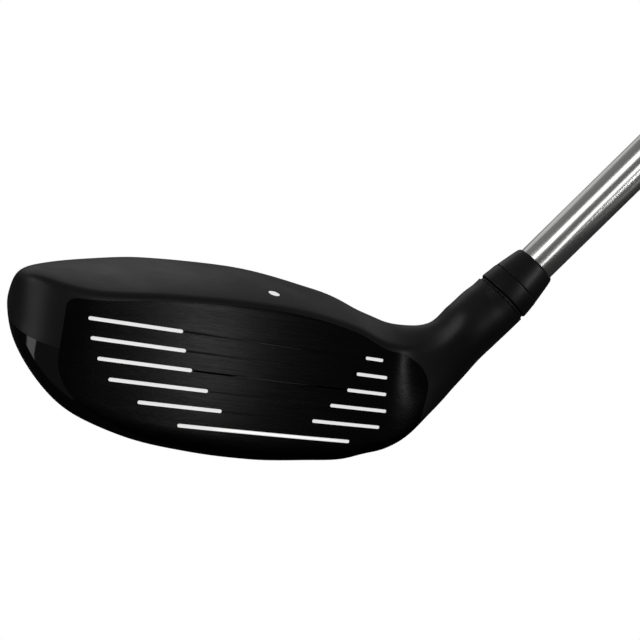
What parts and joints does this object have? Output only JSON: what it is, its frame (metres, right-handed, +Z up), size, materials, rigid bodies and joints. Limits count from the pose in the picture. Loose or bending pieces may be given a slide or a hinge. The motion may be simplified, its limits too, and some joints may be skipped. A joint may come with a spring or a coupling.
{
  "type": "fairway wood",
  "caption": "Compact right-handed wood-type golf club in its address pose, with a hollow lofted head, grooved face, adjustable hosel sleeve, steel shaft and rubber grip.",
  "frame": {"origin": "on the shaft's axis, 110 mm below the end of the grip, where the hands hold the club", "axes": "+Z is up with the club soled at address, +X runs from the toe to the heel, +Y from the face to the back of the head; the shaft leans to +X at its lie angle of 60.1 degrees"},
  "size_m": [0.6073, 0.0677, 0.8979],
  "materials": {
    "satin_black": "satin black paint over steel",
    "dark_brushed_steel": "dark coating over horizontally brushed steel",
    "gloss_black": "gloss black paint",
    "port_steel": "machined",
    "weight_steel": "turned and brushed",
    "damper_rubber": "matt",
    "black_screw": "black oxide",
    "tacky_resin": "tacky resin",
    "black_anodised": "satin black anodised",
    "black_polymer": "matt",
    "satin_ferrule": "satin",
    "washer_steel": "plain",
    "satin_chrome": "satin chrome, finely brushed lengthways",
    "brass_plug": "turned",
    "paper_tape": "paper tape",
    "grip_rubber": "matt, textured",
    "cap_rubber": "smooth"
  },
  "bodies": {
    "club_shaft": {"shaft": "satin_chrome", "tip_plug": "brass_plug", "hosel_sleeve": "black_anodised", "ferrule": "satin_ferrule", "grip_tape": "paper_tape", "grip": "grip_rubber", "grip_cap": "cap_rubber"},
    "spacer": {"spacer_ring": "black_polymer"},
    "head": {"head_body": "satin_black", "face_plate": "dark_brushed_steel", "crown_plate": "satin_black", "sole_plate": "gloss_black", "weight_port": "port_steel", "resin_pad": "tacky_resin", "screw_washer": "washer_steel"},
    "sleeve_screw": {"hosel_screw": "black_screw", "screw_clip": "black_polymer"},
    "weight": {"rear_weight": "weight_steel", "weight_damper": "damper_rubber"},
    "weight_bolt": {"weight_screw": "black_screw"}
  },
  "joints": [
    {"name": "loft_setting", "type": "hinge", "parent": "club_shaft", "child": "spacer", "pos_m": [-0.43294, 0, -0.7529], "axis": [0.4985, 0, 0.8669], "continuous": true},
    {"name": "head_release", "type": "slide", "parent": "spacer", "child": "head", "axis": [-0.4985, 0, -0.8669], "range_m": [0, 0.04]},
    {"name": "hosel_screw_turn", "type": "hinge", "parent": "head", "child": "sleeve_screw", "pos_m": [-0.45412, 0, -0.78974], "axis": [0.4985, 0, 0.8669], "continuous": true},
    {"name": "weight_out", "type": "slide", "parent": "head", "child": "weight", "axis": [0, 0.1564, -0.9877], "range_m": [0, 0.006]},
    {"name": "weight_screw_turn", "type": "hinge", "parent": "weight", "child": "weight_bolt", "pos_m": [-0.48927, 0.031, -0.79506], "axis": [0, 0.1564, -0.9877], "range_deg": [0, 2160]}
  ],
  "couplings": [
    {"joint": "weight_screw_turn", "follows": "weight_out", "rad_per_m": 6283.2}
  ]
}
